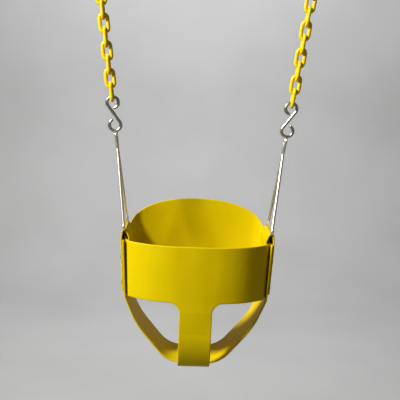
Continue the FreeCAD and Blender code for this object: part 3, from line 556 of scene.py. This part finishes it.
def stack_axis(side):
    """Direction inward through one side's layers, from how far its washers' middles lean."""
    middles = [sum(points, Vector()) / len(points) for points in loose_parts(f"side_washers_{side}")]
    top = max(middles, key=lambda p: p.z)
    low = min(middles, key=lambda p: p.z)
    down = Vector((low.x - top.x, 0, low.z - top.z)).normalized()
    return Vector((SIDES[side] * down.z, 0, -SIDES[side] * down.x))


for side in SIDES:
    inward = stack_axis(side)
    turned_set(f"rivet_set_{side}", f"side_rivets_{side}", inward, rivet_profile)
    turned_set(f"washer_set_{side}", f"side_washers_{side}", inward, washer_profile)
turned_set("rivet_set_seat", "seat_rivets", UP, rivet_profile)
turned_set("washer_set_seat", "seat_washers", UP, washer_profile)


# ---------------------------------------------------------------- chain, hooks, triangles and clips
def load_axes(side):
    """Unit vectors along (up) and across (outward) one side's load line, from its chain."""
    lowest, highest = f"chain_link_{side}_1", f"chain_link_{side}_{LINKS_A_SIDE}"
    up = (middle(highest) - middle(lowest)).normalized()
    return up, FORE_AFT.cross(up).normalized() * SIDES[side]


def link_mesh(centre, up, across, seed):
    """Coated chain link: welded wire under a thick dipped coat, fuller on its sides than in its bends."""
    top, bottom = centre + up * LINK_STRAIGHT, centre - up * LINK_STRAIGHT
    path = arc_points(top, LINK_BEND, 0, 180, LINK_BEND_STEPS, across, up)
    path += line_points(path[-1], bottom - across * LINK_BEND, LINK_SIDE_STEPS)
    path += arc_points(bottom, LINK_BEND, 180, 360, LINK_BEND_STEPS, across, up)
    path += line_points(path[-1], top + across * LINK_BEND, LINK_SIDE_STEPS)

    def reach(step, angle):
        point = path[step]
        height = (point - centre).dot(up)
        out = (point - centre).dot(across)
        straightness = max(0.0, 1 - abs(height) / (LINK_STRAIGHT * 1.1))
        weld = math.exp(-((height - LINK_WELD_OFFSET) / LINK_WELD_WIDTH) ** 2) if out > 0 else 0.0
        lump = noise.noise(point * 190 + Vector((seed * 3.7, 0, math.cos(angle)))) * 0.10
        fullness = 0.988 + 0.018 * straightness + LINK_WELD_PROUD * weld
        return LINK_WIRE * fullness + lump * MM * straightness

    return tube(path, reach, LINK_AROUND, closed=True)


def s_hook_mesh(centre, up, across):
    """Letter S in bent wire, mirrored from side to side; its cut ends are rounded over."""
    inward = -across
    slant = math.degrees(math.asin(HOOK_BEND / HOOK_HALF))
    lower = arc_points(centre - up * HOOK_HALF, HOOK_BEND, HOOK_LOWER_TIP - 360, slant,
                       HOOK_BEND_STEPS, inward, up)
    upper = arc_points(centre + up * HOOK_HALF, HOOK_BEND, HOOK_UPPER_TIP - 180, slant + 180,
                       HOOK_BEND_STEPS, inward, up)
    path = lower + line_points(lower[-1], upper[-1], HOOK_SLANT_STEPS) + upper[::-1]
    count = len(path)

    def reach(step, _):
        edge = min(step, count - 1 - step)
        end = HOOK_END_TAPER[edge] if edge < len(HOOK_END_TAPER) else 1.0
        return HOOK_WIRE * end * (1 + 0.012 * noise.noise(path[step] * 160))

    first = path[0] + (path[0] - path[1]).normalized() * 0.15 * MM
    return tube([first] + path[1:], reach, HOOK_AROUND)


def triangle_mesh(side):
    """Bent rod, butt welded in its rear leg: a proud, slightly uneven bead."""
    low, high = (Vector(corner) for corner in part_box(f"triangle_{side}"))
    sign = SIDES[side]
    outer, inner = (high.x, low.x) if sign > 0 else (low.x, high.x)
    apex = Vector((outer - sign * ROD_WIRE, 0, high.z - ROD_WIRE))
    base = Vector((inner + sign * ROD_WIRE, 0, low.z + ROD_WIRE))
    up = (apex - base).normalized()
    corner = base + up * ROD_CORNER_BEND
    inset = ROD_WIRE + ROD_CORNER_BEND
    bends = [(apex - up * ROD_APEX_BEND, ROD_APEX_BEND),
             (corner + FORE_AFT * (low.y + inset), ROD_CORNER_BEND),
             (corner + FORE_AFT * (high.y - inset), ROD_CORNER_BEND)]
    path = []
    for number, (centre, radius) in enumerate(bends):
        ends = []
        for (other, other_radius), turn in ((bends[number - 1], 1), (bends[(number + 1) % 3], -1)):
            along = other - centre
            tilt = math.acos((radius - other_radius) / along.length)
            angle = math.atan2(along.dot(up), along.dot(FORE_AFT)) - turn * tilt
            ends.append(math.degrees(angle))
        start, end = ends
        while end < start:
            end += 360
        points = arc_points(centre, radius, start, end, ROD_BEND_STEPS, FORE_AFT, up)
        if path:
            path += line_points(path[-1], points[0], ROD_LEG_STEPS)
        path += points
    path += line_points(path[-1], path[0], ROD_LEG_STEPS)
    weld = base.lerp(apex, ROD_BEAD_SHARE)

    def reach(step, angle):
        point = path[step]
        height = (point - weld).dot(up)
        bead = math.exp(-(height / ROD_BEAD_WIDTH) ** 2) if point.y > REAR_LEG_FROM else 0.0
        uneven = noise.noise(point * 900 + Vector((math.cos(angle), math.sin(angle), 0)) * 2)
        return ROD_WIRE * (1 + ROD_BEAD_PROUD * bead * (1 + 0.6 * uneven))

    return tube(path, reach, ROD_AROUND, closed=True)


def edged(name, node, body, width):
    """The CAD's clip piece with its sharp edges broken, as a tumbled and plated piece has them."""
    mesh = copied_mesh(node)
    work = bmesh.new()
    work.from_mesh(mesh)
    bmesh.ops.remove_doubles(work, verts=work.verts, dist=WELDED_POINTS)
    work.to_mesh(mesh)
    work.free()

    def broken(rough):
        bevel = rough.modifiers.new("edges", "BEVEL")
        bevel.width = width
        bevel.segments = 3
        bevel.limit_method = "ANGLE"
        bevel.angle_limit = math.radians(EDGE_ANGLE)

    finished(name, worked(name, mesh, broken), ZINC_CLIP, body, [node])


for side in SIDES:
    up, across = load_axes(side)
    for number in range(1, LINKS_A_SIDE + 1):
        turned = FORE_AFT if number % 2 else across
        node = f"chain_link_{side}_{number}"
        mesh = link_mesh(middle(node), up, turned, number * SIDES[side])
        finished(f"coated_link_{side}_{number}", mesh, COAT, f"chain_row_{number}", [node])
    mesh = s_hook_mesh(middle(f"s_hook_{side}"), up, across)
    finished(f"bent_hook_{side}", mesh, ZINC_HOOK_PAINTED_DARK, "s_hooks", [f"s_hook_{side}"])
    finished(f"rod_triangle_{side}", triangle_mesh(side), ZINC_ROD_PAINTED_SUNLIT, "bucket", [f"triangle_{side}"])
    edged(f"clip_wire_{side}", f"clip_{side}", "hanger_clips", CLIP_EDGE)
    edged(f"clip_gate_bar_{side}", f"clip_gate_{side}", f"gate_{side}", CLIP_EDGE)
    edged(f"clip_pin_rivet_{side}", f"clip_pin_{side}", "hanger_clips", PIN_EDGE)


# ---------------------------------------------------------------- stage, light and camera
def backdrop():
    """Pale floor that curves up into a wall a long way behind."""
    low = CAD_BOX[0][2] - FLOOR_DROP
    profile = [(-FLOOR_REACH, low), (WALL_START, low)]
    for n in range(1, WALL_CURVE_STEPS + 1):
        angle = math.radians(CURVE_TURN * n / WALL_CURVE_STEPS)
        profile.append((WALL_START + WALL_CURVE * math.sin(angle), low + WALL_CURVE * (1 - math.cos(angle))))
    profile.append((WALL_START + WALL_CURVE, low + WALL_HEIGHT))
    work = bmesh.new()
    rows = [[work.verts.new((x, y, z)) for x in (-FLOOR_REACH, FLOOR_REACH)] for y, z in profile]
    for one, two in zip(rows, rows[1:]):
        work.faces.new((one[0], one[1], two[1], two[0]))
    mesh = bpy.data.meshes.new("studio_floor")
    work.to_mesh(mesh)
    work.free()
    mesh.polygons.foreach_set("use_smooth", [True] * len(mesh.polygons))
    floor = bpy.data.objects.new("studio_floor", mesh)
    bpy.context.scene.collection.objects.link(floor)
    material, nodes, links, shader = tree_of("pale_floor")
    shade = ramp(nodes, links, noise_node(nodes, links, coordinates(nodes), scale=1.5, detail=2.0), FLOOR_SHADES)
    links.new(shade, shader.inputs["Base Color"])
    shader.inputs["Roughness"].default_value = FLOOR_ROUGHNESS
    mesh.materials.append(material)


def area(name, place, aim, size, power, colour):
    """Round soft light at place, turned to aim; size is its diameter in metres, power in watts."""
    light = bpy.data.lights.new(name, "AREA")
    light.shape = "DISK"
    light.size = size
    light.energy = power
    light.color = colour
    lamp = bpy.data.objects.new(name, light)
    lamp.location = place
    lamp.rotation_euler = (aim - place).to_track_quat("-Z", "Y").to_euler()
    bpy.context.scene.collection.objects.link(lamp)


def lights():
    """Small key high on the left, a weak warm fill on the right, a weak top, and a lamp for the wall alone."""
    low, high = CAD_BOX[0][2], CAD_BOX[1][2]
    aim = Vector((0, 0, (low + high) / 2 - AIM_BELOW_MIDDLE))
    for name, offset, size, power, colour in LAMPS:
        area(name, aim + Vector(offset), aim, size, power, colour)
    lowest = Vector((0, 0, low))
    area("wall", lowest + Vector(WALL_LAMP_PLACE), lowest + Vector(WALL_LAMP_AIM),
         WALL_LAMP_SIZE, WALL_LAMP_POWER, WALL_LAMP_COLOUR)
    world = bpy.data.worlds.new("studio")
    world.use_nodes = True
    sky = world.node_tree.nodes["Background"]
    sky.inputs["Color"].default_value = WORLD_COLOUR
    sky.inputs["Strength"].default_value = WORLD_STRENGTH
    bpy.context.scene.world = world
    bpy.context.scene.view_settings.view_transform = "Standard"


def long_lens_camera():
    """Long lens a little above the bucket's rim, looking slightly down, with a slight lean."""
    camera = bpy.data.cameras.new("view")
    camera.sensor_width = 36.0
    camera.lens = LENS
    camera.clip_end = 60
    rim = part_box("front_panel")[1][2]
    turn = (Matrix.Rotation(math.radians(LENS_ROLL), 3, "Z") @ Matrix.Rotation(math.radians(LENS_DOWN), 3, "X")
            @ Matrix.Rotation(math.radians(LENS_TWIST), 3, "Y"))
    right, ahead, up = turn.col
    view = bpy.data.objects.new("view", camera)
    basis = Matrix((right, up, -ahead)).transposed().to_4x4()
    view.matrix_world = Matrix.Translation(Vector((LENS_ASIDE, LENS_BACK, rim + LENS_ABOVE_RIM))) @ basis
    bpy.context.scene.collection.objects.link(view)
    bpy.context.scene.camera = view


backdrop()
lights()
long_lens_camera()
